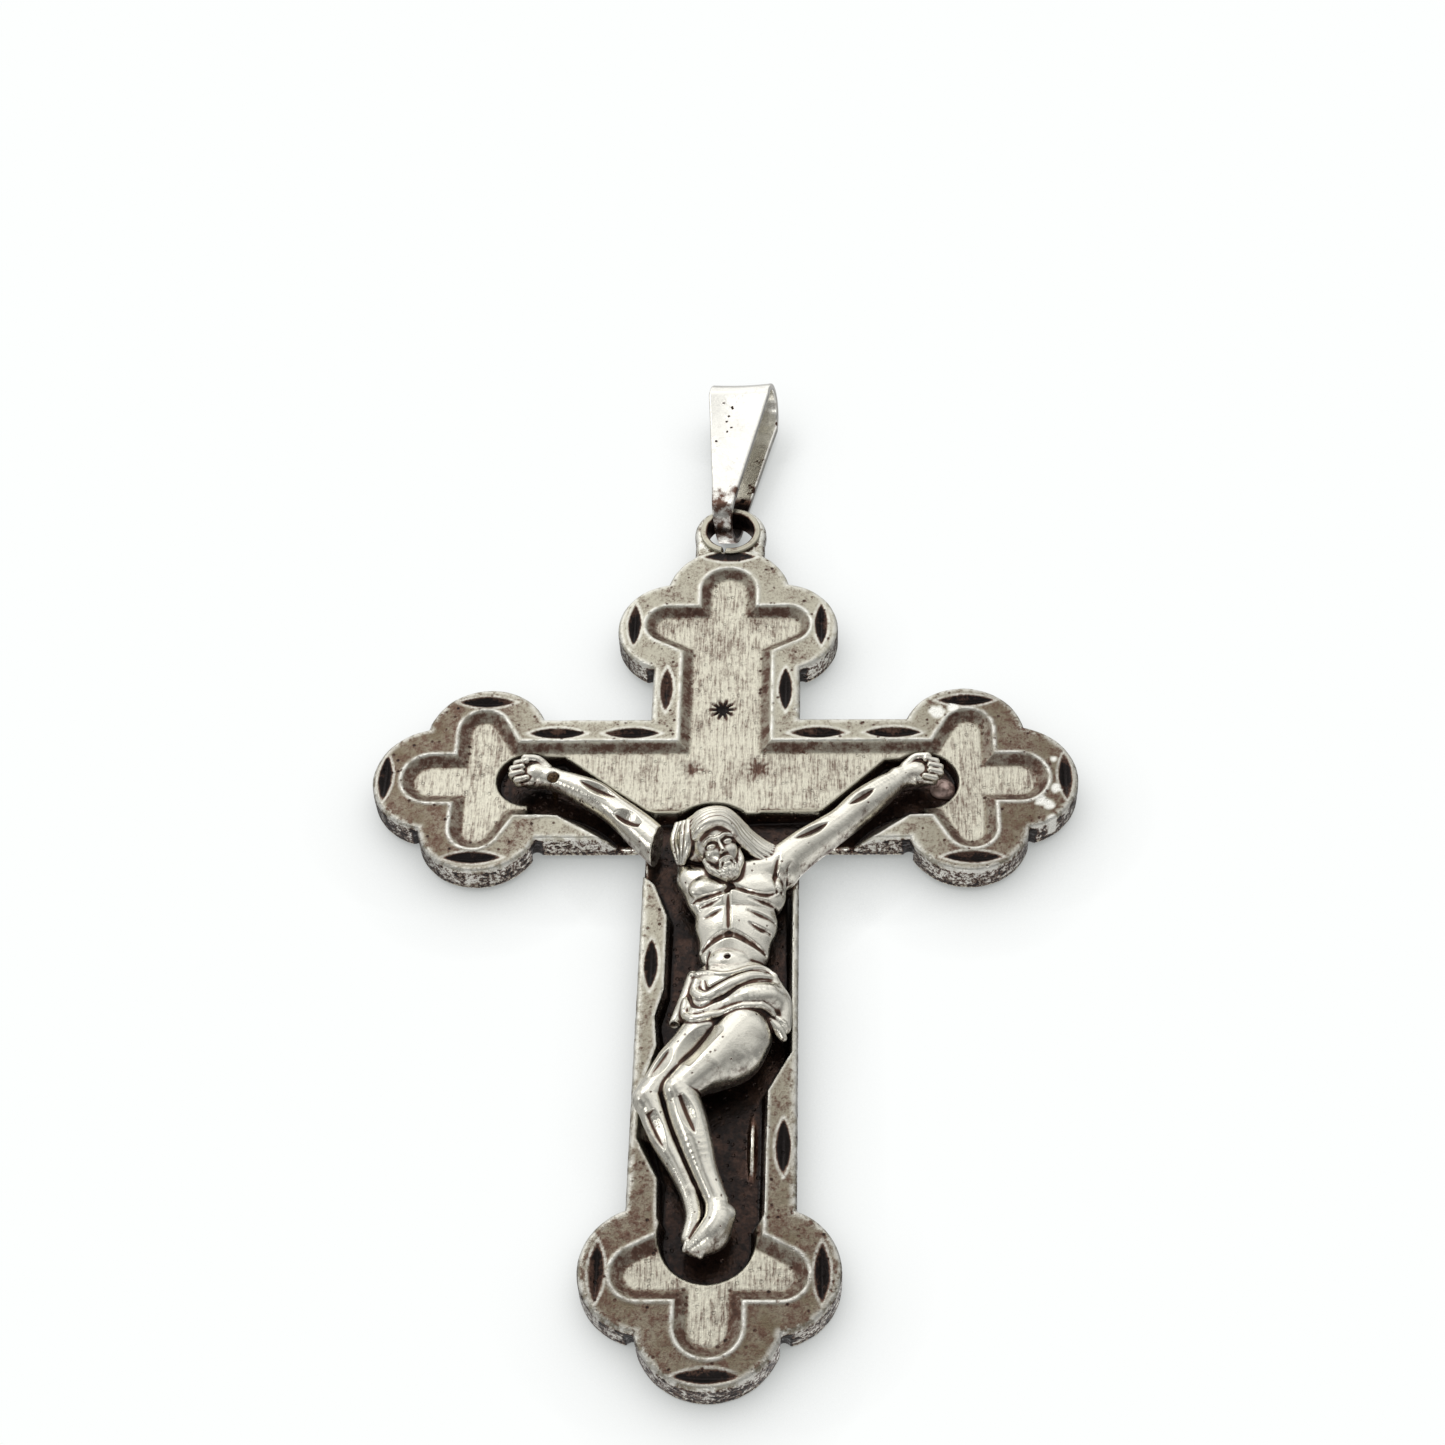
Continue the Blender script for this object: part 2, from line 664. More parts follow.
def plate_front(x, y):
    """Height of the plate's front, and the zones that the finish needs."""
    recessed, pocketed = recess(x, y), pocket(x, y)
    border = FRONT - 0.04 + 0.025 * ripple(x, y, 4.0, 3) + 0.05 * hump(recessed, 0.1, 0.13)
    height = border - RECESS_DEPTH * ramp(recessed, 0, -BEVEL_RUN)
    height = height + 0.012 * ripple(x, y, 1.2, 4) * (recessed < -BEVEL_RUN)
    lens, star = lens_depth(x, y), star_depth(x, y)
    height = np.where(lens > 0, np.minimum(height, FRONT - lens), height) - star
    share = np.clip(-pocketed / pocket_wall(x, y), 0, 1)
    in_pocket = share > 0
    streak = 1 - np.hypot((x - STREAK_AT[0]) / STREAK_R, (y - STREAK_AT[1]) / STREAK_HALF_LENGTH)
    floor = FRONT - POCKET_DEPTH * share + 0.03 * ripple(x, y, 3.0, 5) + STREAK_HEIGHT * ramp(streak, 0, 1)
    height = np.where(in_pocket, np.minimum(height, floor), height)
    pocket_rim = hump(pocketed, 0, 0.14) * (recessed > -0.1)
    zones = {
        "panel": ramp(recessed, -BEVEL_RUN, -BEVEL_RUN - 0.15) * ramp(share, 0.25, 0),
        "bevel": ramp(recessed, 0, -0.15) * ramp(recessed, -BEVEL_RUN, 0.2 - BEVEL_RUN) * ~in_pocket,
        "pocket": ramp(share, 0, 0.67),
        "pocket_side": ramp(share, 0, 0.17) * ramp(share, 1, 0.75),
        "lens": ramp(lens, 0, 0.06),
        "lens_lip": hump(lens, -0.05, 0.05),
        "star": ramp(star, 0, 0.2),
        "dulled": np.maximum(ramp(y, *FOOT_TARNISH), ramp(np.abs(x), *ARM_TARNISH)),
        "bare": bare_spots(x, y),
        "outer_edge": ramp(outline(x, y), -0.525, -0.105),
        "rim": hump(recessed, 0.08, 0.12) * ~in_pocket,
        "lip": np.maximum(pocket_rim, 0.8 * ramp(streak, 0, 0.33) * in_pocket),
    }
    return height, zones


def build_plate(cell):
    margin = 4 * cell
    clay = Clay(plate_low - margin, plate_high + margin, cell)
    x, y, z = clay.axes()
    height, zones = plate_front(x[:, :, 0], y[:, :, 0])
    slope_x, slope_y = np.gradient(height, cell)
    lean = np.sqrt(1 + slope_x**2 + slope_y**2)[:, :, None]
    side = outline(x, y) + 0.03 * ripple(x + 3 * z, y - 2 * z, 1.6, 6) + 0.015
    top = (z - height[:, :, None]) / lean
    field = round_max(round_max(side, top, 0.28), -z, 0.2)
    neck = block_2d(x, y, 0, LUG_Y - LUG_NECK_LENGTH / 2, LUG_NECK_HALF, LUG_NECK_LENGTH / 2)
    outside_lug = slab(z, LUG_BACK, LUG_FRONT)
    lug = round_max(np.minimum(disc(x, y, 0, LUG_Y, LUG_R), neck), outside_lug, 0.4)
    relief = disc(x, y, 0, LUG_Y, RING_TUBE_R + RIM + RING_PLAY)
    field = np.maximum(field, -np.maximum(relief, -outside_lug))
    field = soft_min(field, lug, 0.15)
    field = round_max(field, -disc(x, y, 0, LUG_Y, BORE_R), 0.08)
    clay.fill(field)
    for cx, cy in notch_corners():
        clay.cut([Rod((cx, cy, -2, NOTCH_R), (cx, cy, FRONT - 1.1, NOTCH_R * 0.9))], 0.08)

    def zone_values(points):
        px, py, pz = points.T
        places = (points[:, :2] - clay.low[:2]) / cell
        values = {key: sample(zone, places) * ramp(pz, 0.35, 0.55) for key, zone in zones.items()}
        values["wall"] = ramp(outline(px, py), -0.14, -0.04) * ramp(pz, FRONT - 0.12, FRONT - 0.27)
        values["ring_gap"] = ramp(np.abs(disc(px, py, 0, LUG_Y, RING_TUBE_R + RIM + 0.08)), 0.16, 0)
        from_notch = np.min([disc(px, py, cx, cy, NOTCH_R) for cx, cy in notch_corners()], 0)
        values["notch"] = ramp(from_notch, 0.15, 0) * ramp(pz, FRONT - 0.15, FRONT - 0.35)
        return values

    return skin_object("cross_body", clay, attributes=zone_values)


# ---------------------------------------------------------------- ring, bail, nail and solder


def build_ring(cell):
    clay = Clay(ring_low - 0.3, ring_high + 0.3, cell)
    x, y, z = clay.axes()
    x, y = turned(x, y - LUG_Y, -SEAM_TURN)
    radius = np.hypot(x, y)
    low, high = ring_low[2] + 0.01, ring_high[2] - 0.01

    def hoop(inner, outer, back, front):
        return round_max(slab(radius, inner, outer), slab(z, back, front), 0.1)

    wall = hoop(RING_INNER_R, RING_TUBE_R, low, high)
    front_rim = hoop(RING_INNER_R + 0.06, RING_TUBE_R + RIM, high - RIM, high)
    back_rim = hoop(RING_INNER_R + 0.06, RING_TUBE_R + RIM, low, low + RIM)
    field = soft_min(wall, soft_min(front_rim, back_rim, 0.05), 0.06)
    # The butt seam: a narrow gap that widens into a V at the rims
    seam = 0.05 + 0.12 * ramp(slab(z, low, high), -0.3, 0)
    clay.fill(np.where(y < 0, soft_max(field, seam - np.abs(x), 0.06), field))

    def bore_marks(points):
        from_axis = disc(points[:, 0], points[:, 1], 0, LUG_Y, 0)
        return {"bore": ramp(from_axis, RING_INNER_R + 0.16, RING_INNER_R + 0.06)}

    return skin_object("ring", clay, attributes=bore_marks)


def turn_matrix(x=0, y=0, z=0):
    """Turns about x, then y, then z, in degrees."""
    turns = [Matrix.Rotation(math.radians(a), 3, axis) for a, axis in ((z, "Z"), (y, "Y"), (x, "X"))]
    return np.array(turns[0] @ turns[1] @ turns[2])


def bail_place():
    place = np.eye(4)
    place[:3, :3] = turn_matrix(z=-BAIL_LEAN) @ turn_matrix(y=-BAIL_TWIST) @ turn_matrix(x=BAIL_TILT)
    place[:3, 3] = BAIL_PIVOT
    return place


def bail_side_view(y, z):
    """Seen from the side: the share of the way up the bail, and the distance to the wedge inside it."""
    share = ramp(y, 0, BAIL_LENGTH)
    return share, np.hypot(y - share * BAIL_LENGTH, z) - TIP_BEND_R - share * (TOP_BEND_R - TIP_BEND_R)


def build_bail(cell):
    margin = 0.3
    reach = TOP_BEND_R + STRIP + margin
    half = TOP_WIDTH / 2
    low = (-half - margin, -TIP_BEND_R - STRIP - margin, -reach)
    clay = Clay(low, (half + margin, BAIL_LENGTH + reach, reach), cell)
    x, y, z = clay.axes()
    share, core = bail_side_view(y, z)
    # The legs sag a little, and the strip is slightly dished across its width towards the top fold
    core = core + 0.05 * np.sin(share * math.pi) + 0.03 * ripple(x * 0.5, y, 5.0, 8)
    dish = 0.10 * share * (1 - np.minimum(np.abs(x) / half, 1) ** 2)
    sheet = slab(core + dish, 0, STRIP)
    heights = [-TIP_BEND_R - STRIP, SHOULDER_Y, BAIL_LENGTH]
    half_width = np.interp(y, heights, [TIP_WIDTH / 2, SHOULDER_WIDTH / 2, half])
    edge = (np.abs(x) - half_width) * 0.97
    clay.fill(round_max(sheet, edge, 0.1))

    def wear(points):
        px, py, pz = points.T
        from_pit = np.min([disc(px, py, *pit, PIT_R) for pit in BAIL_PITS], 0)
        return {
            "inside": ramp(bail_side_view(py, pz)[1], 0.15, 0.05),
            "tip": ramp(py, SHOULDER_Y - 0.2, SHOULDER_Y - 0.5),
            "foot": ramp(py, 3.2, 2.2),
            "pitted": (from_pit < 0) & (pz > 0),
        }

    return skin_object("bail_strip", clay, bail_place(), wear)


def build_nail(cell):
    clay = Clay(nail_low - 0.2, nail_high + 0.3, cell)
    x, y = NAIL_AT
    shank_r = 0.19
    head = nail_high[2] - 0.1
    clay.add([Rod((x, y, nail_low[2] + shank_r, shank_r), (x, y, head, shank_r))], 0)
    clay.add([Ball((x, y, head), (0.4, 0.36, 0.17), turn_matrix(x=8, y=-6))], 0.06)
    clay.cut([Rod((x - 0.2, y + 0.05, head + 0.2, 0.06), (x + 0.15, y - 0.1, head + 0.2, 0.05))], 0.05)
    return skin_object("wrist_nail", clay)


def build_solder(cell):
    clay = Clay(solder_low - 0.4, solder_high + 0.5, cell)
    x, y = SOLDER_AT
    base, top = solder_low[2], solder_high[2]
    r = (solder_high[0] - solder_low[0]) / 2
    clay.add([Ball((x, y, base), (r, 0.95 * r, top - base), turn_matrix(z=20))], 0)
    lump = Ball((x + 0.45 * r, y - 0.5 * r, base + 0.05), (0.55 * r, 0.45 * r, 0.55), turn_matrix(z=-35))
    clay.add([lump], 0.2)
    clay.cut([Ball((x + 0.75 * r, y + 0.2 * r, top), 0.2)], 0.1)
    clay.fill(np.maximum(clay.field, base - clay.axes()[2]))
    return skin_object("solder_bead", clay)


# ---------------------------------------------------------------- the corpus


class Posed:
    """Places head-sized shapes, drawn upright round the origin, on the corpus."""

    def __init__(self, centre, turn, scale):
        self.centre, self.turn, self.scale = np.array(centre, float), turn, scale

    def station(self, s):
        at = self.turn @ (np.array(s[:3]) * self.scale) + self.centre
        return (*at, s[3] * self.scale)

    def limb(self, stations):
        return limb([self.station(s) for s in stations])

    def strand(self, stations, side=1):
        """A smooth rod, or its mirror image when side is -1."""
        return self.limb(curve([(side * x, *rest) for x, *rest in stations]))

    def ball(self, centre, radii, turn=None):
        at = self.turn @ (np.array(centre) * self.scale) + self.centre
        own = self.turn if turn is None else self.turn @ turn
        return Ball(at, np.array(radii) * np.ones(3) * self.scale, own)


HEAD = Posed((-0.15, -7.3, 1.95), turn_matrix(z=24) @ turn_matrix(x=20), 1.15)


def sculpt_face(clay):
    """A calm, bearded face with closed eyes: the eye line halfway, the nose and the mouth by thirds."""
    skull, jaw = HEAD.ball((0, 0.5, 0.02), (1.18, 1.35, 1.2)), HEAD.ball((0, -0.55, 0.2), (0.95, 1.25, 1.0))
    clay.add([skull, jaw], 0.35)
    for side in (1, -1):
        clay.add([HEAD.ball((side * 0.5, -0.42, 0.8), (0.4, 0.34, 0.3))], 0.3)
        clay.cut([HEAD.ball((side * 0.46, 0.06, 1.42), (0.36, 0.2, 0.24))], 0.2)
        clay.add([HEAD.ball((side * 0.46, -0.02, 1.06), (0.28, 0.17, 0.17))], 0.06)
        brow = [(0.12, 0.3, 1.22, 0.09), (0.45, 0.4, 1.17, 0.09), (0.82, 0.26, 0.94, 0.07)]
        clay.add(HEAD.strand(brow, side), 0.16)
        lid = [(0.24, -0.08, 1.24, 0.045), (0.46, -0.15, 1.27, 0.045), (0.7, -0.06, 1.18, 0.045)]
        clay.cut(HEAD.strand(lid, side), 0.05)
    clay.add(HEAD.strand([(0, 0.36, 1.17, 0.1), (0, -0.15, 1.32, 0.1), (0, -0.52, 1.46, 0.13)]), 0.14)
    for side in (1, -1):
        clay.add([HEAD.ball((side * 0.14, -0.56, 1.34), (0.11, 0.1, 0.12))], 0.08)
    for half_width, y, z, radius in ((0.17, -1.02, 1.2, 0.07), (0.13, -1.2, 1.16, 0.08)):
        clay.add(HEAD.limb([(-half_width, y, z, radius), (half_width, y, z, radius)]), 0.08)
    clay.cut(HEAD.strand([(-0.24, -1.12, 1.2, 0.04), (0, -1.1, 1.3, 0.04), (0.24, -1.12, 1.2, 0.04)]), 0.04)


BEARD_LOCK_R = 0.055


def sculpt_beard(clay):
    """A short full beard and a moustache, both combed downwards."""
    clay.add([HEAD.ball((0, -1.62, 0.8), (0.62, 0.5, 0.46))], 0.25)
    for side in (1, -1):
        jaw = [(0.97, -0.5, 0.45, 0.16), (0.82, -1.15, 0.62, 0.24), (0.15, -1.8, 0.76, 0.3)]
        clay.add(HEAD.strand(jaw, side), 0.15)
        moustache = [(0.06, -0.84, 1.26, 0.08), (0.32, -0.98, 1.16, 0.09), (0.48, -1.35, 0.98, 0.06)]
        clay.add(HEAD.strand(moustache, side), 0.06)
        for lock in range(4):
            out = 0.1 + 0.22 * lock
            start = np.array(HEAD.station((side * (out + 0.12), -1.4 + 0.17 * lock, 1, 0)))
            end = np.array(HEAD.station((side * out * 0.75, -2.0 + 0.14 * lock, 1, 0)))
            lock_path = [(x, y, BEARD_LOCK_R) for x, y, *_ in (start, (start + end) / 2, end)]
            clay.cut(clay.draped(lock_path, 0.0), 0.05)


def between(inner, outer, share, radii, bulge=0.0):
    """The strand a given share of the way from an inner to an outer path, bulging up and out midway."""
    mixed = np.array(inner) * (1 - share) + np.array(outer) * share
    mixed = mixed + 4 * share * (1 - share) * bulge * np.array([0, 0.6, 0.8])
    return limb(curve([(*point, radius) for point, radius in zip(mixed, radii)]))


# Paths of the swept hair: along the hairline and down to the shoulder, and round the back of the head
HAIRLINE = [
    (-1.02, 0.9, 0.8), (-0.6, 1.15, 1.12), (0, 1.25, 1.24),
    (0.6, 1.12, 1.12), (1.0, 0.62, 0.92), (1.2, 0, 0.7),
]
HAIR_BACK = [
    (-1.9, -4.7, 1.35), (-1.3, -4.1, 1.3), (-0.45, -3.9, 1.3), (0.4, -4.05, 1.25),
    (1.1, -4.7, 1.2), (2.0, -5.65, 1.15), (2.8, -6.2, 1.1), (3.6, -6.5, 1.0),
]
SWEPT_STRANDS = 8


def sculpt_hair(clay):
    """A combed mass: upright strands at the viewer's left, and long ones swept over to the right shoulder."""
    clay.add([Ball((-0.75, -6.0, 1.45), (2.1, 1.95, 1.15), turn_matrix(z=24))], 0.1)
    clay.strand([(1.1, -5.9, 1.4, 1.0), (2.3, -6.9, 1.0, 0.8), (3.5, -7.3, 0.7, 0.6)], 0.3)
    upright_inner = [(-2.0, -5.5, 2.4), (-1.95, -6.5, 2.5), (-2.05, -7.4, 2.1), (-2.3, -8.0, 1.5)]
    upright_outer = [(-2.8, -4.7, 1.0), (-3.0, -5.8, 0.9), (-2.8, -6.8, 0.8), (-2.65, -7.5, 0.7)]
    for share in (1.0, 0.67, 0.34, 0.0):
        clay.add(between(upright_inner, upright_outer, share, (0.24, 0.29, 0.27, 0.14)), 0.04)
    swept_inner = [HEAD.station((*point, 0))[:3] for point in HAIRLINE] + [(2.3, -7.6, 1.8), (3.4, -8.0, 1.4)]
    radii = (0.24, 0.32, 0.34, 0.34, 0.32, 0.28, 0.22, 0.12)
    for share in np.linspace(1, 0, SWEPT_STRANDS):
        clay.add(between(swept_inner, HAIR_BACK, share, radii, 0.35), 0.03)


# Grooves of the torso as (x, y, radius) points: breastbone, both breasts, belly, hip and the armpit
TORSO_GROOVES = [
    [(0.58, -9.9, 0.14), (0.6, -11.4, 0.17), (0.64, -13.2, 0.2)],
    [(-1.65, -10.75, 0.08), (-0.6, -10.6, 0.15), (0.35, -10.3, 0.16), (0.8, -9.95, 0.16)],
    [(0.8, -9.95, 0.16), (1.9, -10.35, 0.16), (3.1, -10.45, 0.14), (4.0, -9.95, 0.08)],
    [
        (-1.05, -14.2, 0.1), (-0.4, -13.72, 0.2), (0.4, -13.34, 0.26),
        (1.0, -13.34, 0.26), (1.95, -13.8, 0.2), (3.0, -14.35, 0.1),
    ],
    [(-0.5, -14.4, 0.07), (-0.7, -15.1, 0.13), (-0.6, -15.8, 0.08)],
    [(3.67, -10.1, 0.08), (3.55, -9.2, 0.16), (3.65, -8.1, 0.16), (4.0, -7.2, 0.1)],
    [(4.3, -9.2, 0.07), (4.35, -8.4, 0.12), (4.7, -7.6, 0.08)],
]
NAVEL = (0.64, -14.97)
# The grooves between the ribs: start, end, and the sag and radius at their middle
RIB_GROOVES = [
    (1.95, -10.75, 3.75, -11.15, 0, 0.16),
    (1.85, -11.6, 3.55, -12.1, 0.05, 0.16),
    (1.95, -12.55, 3.3, -13.0, 0.1, 0.16),
    (0.05, -10.85, -1.1, -11.2, 0.04, 0.15),
    (0.15, -11.55, -0.85, -12.0, 0.04, 0.15),
]


def sculpt_torso(clay):
    clay.add([Ball((1.05, -9.8, 0.4), (3.15, 2.5, 1.4)), Ball((1.1, -12.0, 0.35), (2.6, 2.5, 1.25))], 0.3)
    clay.add(limb([(-1.75, -8.6, 0.25, 1.0), (0.8, -8.4, 0.8, 1.0), (3.8, -8.0, 0.5, 1.25)]), 0.5)
    clay.add(limb([(-1.9, -7.6, 0.25, 0.85), (-1.6, -9.2, 0.4, 0.75), (-0.9, -11.0, 0.4, 0.6)]), 0.4)
    clay.add([Ball((1.0, -14.0, 0.2), (2.2, 1.9, 1.05)), Ball((1.05, -16.6, 0.3), (2.8, 2.0, 1.25))], 0.5)
    clay.add([Ball((0.75, -15.1, 0.55), (1.5, 1.1, 0.9))], 0.1)
    breasts = (((-0.65, -9.75, 1.2), (1.25, 0.9, 0.5), 14), ((2.4, -9.55, 1.15), (1.6, 0.98, 0.55), -8))
    for centre, radii, turn in breasts:
        clay.add([Ball(centre, radii, turn_matrix(z=turn))], 0.15)
    clay.add(limb([(0.35, -8.0, 0.9, 0.95), (0.7, -8.8, 0.7, 1.1)]), 0.3)
    for groove in TORSO_GROOVES:
        clay.cut(clay.draped(groove, 0.2), 0.12)
    for x, y, end_x, end_y, sag, radius in RIB_GROOVES:
        middle = ((x + end_x) / 2, (y + end_y) / 2 - sag, radius)
        clay.cut(clay.draped([(x, y, 0.06), middle, (end_x, end_y, 0.08)], 0.2), 0.12)
    clay.cut([Ball((*NAVEL, clay.top_at(*NAVEL)), (0.2, 0.2, 0.26))], 0.08)


# Folds of the loincloth as (x, y, radius) points: the top edge, the roll that loops down, and the lower hem
CLOTH_RIDGES = [
    [
        (-1.6, -15.9, 0.14), (-0.6, -16.1, 0.14), (0.3, -16.4, 0.14), (1.1, -16.3, 0.15),
        (2.0, -15.85, 0.16), (2.9, -15.6, 0.16), (3.6, -16.1, 0.14),
    ],
    [
        (-1.2, -16.7, 0.26), (-1.25, -17.5, 0.36), (-0.65, -18.1, 0.4), (0.1, -17.75, 0.42),
        (1.2, -17.1, 0.42), (2.2, -16.55, 0.36), (3.2, -16.35, 0.22),
    ],
    [
        (-1.85, -17.9, 0.2), (-1.85, -19.0, 0.26), (-1.2, -19.65, 0.3), (-0.1, -19.4, 0.26),
        (1.0, -19.05, 0.22), (2.2, -18.85, 0.2), (3.2, -18.85, 0.2), (4.2, -19.6, 0.16),
    ],
]
# Grooves above and below the roll
CLOTH_GROOVES = [
    [(-0.7, -16.8, 0.08), (-0.5, -17.35, 0.14), (0.1, -17.1, 0.14), (1.0, -16.65, 0.13), (2.2, -16.1, 0.1)],
    [
        (-1.65, -17.6, 0.08), (-1.4, -18.5, 0.16), (-0.8, -18.85, 0.18), (0.0, -18.4, 0.15),
        (0.75, -18.0, 0.13), (1.8, -17.3, 0.12), (3.3, -16.8, 0.08),
    ],
]


def sculpt_loincloth(clay):
    """A wrap with a thin top edge, a rolled fold looping down from the left hip, and a broad plain fall."""
    clay.add([Ball((1.1, -17.4, 0.4), (2.95, 2.0, 1.3)), Ball((2.4, -17.9, 0.5), (2.15, 1.6, 1.4))], 0.3)
    clay.add([Ball((-0.6, -18.5, 0.4), (1.75, 1.25, 1.15))], 0.3)
    clay.strand([(3.4, -16.4, 0.6, 0.5), (4.0, -18.0, 0.6, 0.62), (4.05, -19.5, 0.5, 0.55)], 0.2)
    clay.strand([(3.3, -19.3, 0.9, 0.3), (3.8, -19.8, 0.7, 0.36), (4.1, -20.3, 0.5, 0.25)], 0.12)
    clay.strand([(-1.5, -15.8, 0.3, 0.4), (-1.9, -17.6, 0.4, 0.45), (-2.5, -19.2, 0.35, 0.35)], 0.15)
    fall = [(-1.2, -19.1, 0.5), (0.2, -18.7, 0.75), (1.8, -18.15, 0.95), (3.2, -17.9, 0.8)]
    clay.add(clay.draped(fall, -0.62), 0.35)
    for ridge in CLOTH_RIDGES:
        clay.add(clay.draped(ridge, -0.15), 0.1)
    for groove in CLOTH_GROOVES:
        clay.cut(clay.draped(groove, 0.1), 0.08)
    clay.cut([Ball((-2.5, -19.5, 0.6), (0.42, 0.26, 0.5), turn_matrix(z=-20))], 0.08)


# The wheel's cuts on the legs: start, end, width and depth
LEG_FACETS = [
    ((-2.1, -22.75), (-0.05, -20.05), 0.9, 0.4),
    ((-4.05, -23.85), (-2.65, -21.7), 0.7, 0.26),
    ((-1.95, -25.2), (-0.7, -28.1), 0.95, 0.36),
    ((-3.9, -25.95), (-2.35, -29.1), 0.6, 0.26),
]


TOES = 4


def sculpt_legs(clay):
    """Bent legs. The one at the viewer's left lies behind, and the right foot is laid over the left one."""
    left_knee, right_knee = (-3.8, -24.6, 0.75, 0.92), (-2.05, -24.4, 1.2, 1.02)
    left_ankle, right_ankle = (-1.2, -30.5, 0, 0.6), (0.4, -31.3, 0.42, 0.68)
    left_thigh = limb([(-0.4, -19.4, 0.4, 1.3), (-2.4, -22.2, 0.6, 1.15), left_knee])
    left_shin = limb(curve([left_knee, (-3.0, -26.9, 0.45, 0.82), (-1.95, -28.9, 0.15, 0.68), left_ankle]))
    clay.add(left_thigh + left_shin, 0.12)
    clay.strand([left_ankle, (-0.95, -32.0, 0, 0.52), (-1.2, -33.4, -0.05, 0.5)], 0.15)
    clay.add([Ball((-4.1, -24.85, 0.85), (0.68, 0.75, 0.72))], 0.25)
    right_thigh = limb([(1.7, -19.8, 0.5, 1.6), (-0.3, -22.5, 0.9, 1.4), right_knee])
    calf = [(-1.5, -25.9, 1.0, 1.13), (-0.95, -27.6, 0.85, 1.0), (-0.38, -29.4, 0.65, 0.78)]
    clay.add(right_thigh + limb(curve([right_knee, *calf, right_ankle])), 0.05)
    clay.strand([(2.0, -20.3, 0.4, 1.45), (1.3, -21.7, 0.4, 1.45), (-0.1, -22.9, 0.5, 1.05)], 0.3)
    clay.add([Ball((-2.2, -24.6, 1.55), (0.7, 0.75, 0.75))], 0.25)
    foot = [(0.45, -32.5, 0.42, 0.82), (-0.1, -33.45, 0.3, 0.8), (-0.95, -34.1, 0.15, 0.48)]
    clay.strand([right_ankle, *foot], 0.12)
    clay.strand([(0.95, -32.15, 0.2, 0.55), (0.5, -33.6, 0.1, 0.5), (-0.6, -34.25, 0.05, 0.38)], 0.15)
    clay.add([Ball((1.05, -31.95, 0.4), (0.42, 0.45, 0.42))], 0.25)
    for toe in range(TOES):
        x, y = -1.4 + 0.3 * toe, -34.1 - 0.13 * toe
        clay.add(limb([(x + 0.15, y + 0.3, 0.3, 0.22), (x, y - 0.12, 0.15, 0.18)]), 0.05)


# From the wrist to each finger's knuckle, and from one finger to the next
FINGER_REACHES = (2.35, 2.6, 2.6, 2.25)
FINGER_SPACING = 0.46


def sculpt_hand(clay, wrist, side):
    """A half-open hand pointing away from the body, with curled fingers and the thumb along the top."""
    wx, wy = wrist
    clay.add(limb([(wx, wy, 0.1, 0.7), (wx + side * 1.1, wy + 0.4, 0.0, 0.8)]), 0.25)
    clay.add([Ball((wx + side * 1.35, wy + 0.35, 0.05), (1.1, 1.0, 0.62))], 0.3)
    for finger, reach in enumerate(FINGER_REACHES):
        y = wy + 1.02 - FINGER_SPACING * finger
        curl = [
            (wx + side * 1.4, y, 0.32, 0.28),
            (wx + side * reach, y - 0.02, 0.22, 0.3),
            (wx + side * (reach + 0.1), y, 0.5, 0.25),
            (wx + side * (reach - 0.55), y + 0.02, 0.72, 0.22),
        ]
        clay.add(limb(curl), 0.14)
    thumb = [
        (wx + side * 0.45, wy + 0.7, 0.3, 0.38),
        (wx + side * 1.1, wy + 1.3, 0.5, 0.32),
        (wx + side * 1.9, wy + 1.3, 0.72, 0.26),
    ]
    clay.strand(thumb, 0.1)


def sculpt_whole_arm(clay):
    arm = [
        (4.1, -7.35, 0.5, 1.3),
        (5.4, -6.1, 0.5, 1.2),
        (6.7, -5.0, 0.42, 1.1),
        (7.85, -4.0, 0.38, 1.02),
        (9.1, -2.65, 0.34, 1.08),
        (10.3, -1.45, 0.22, 0.96),
        (11.4, -0.45, 0.1, 0.76),
    ]
    clay.strand(arm, 0.25)
    sculpt_hand(clay, (11.5, -0.2), 1)
    clay.facet((8.05, -3.4), (10.2, -1.75), 0.7, 0.32)
    clay.facet((4.75, -6.15), (7.2, -4.65), 0.75, 0.34)


def wear_marks(points):
    """How far each point is below the parts that get rubbed bright."""
    return {"low": ramp(points[:, 2], 0.9, -0.5)}


def build_corpus(cell):
    clay = Clay((-5.2, -35.8, -POCKET_DEPTH - 0.1), (15.0, 1.9, 4.1), cell)
    sculpt_legs(clay)
    sculpt_torso(clay)
    sculpt_loincloth(clay)
    sculpt_whole_arm(clay)
    sculpt_hair(clay)
    sculpt_face(clay)
    sculpt_beard(clay)
    for start, end, width, depth in LEG_FACETS:
        clay.facet(start, end, width, depth)
    z = clay.axes()[2]
    clay.fill(np.maximum(clay.field, CORPUS_BACK - z))
    floor = -POCKET_DEPTH
    for x, y, radius in STUDS:
        clay.add([Rod((x, y, floor + 0.3, radius), (x, y, 0, radius))], 0.1)
    clay.fill(np.maximum(clay.field, floor + 0.01 - z))
    return skin_object("corpus_figure", clay, heights_from_border(), wear_marks)


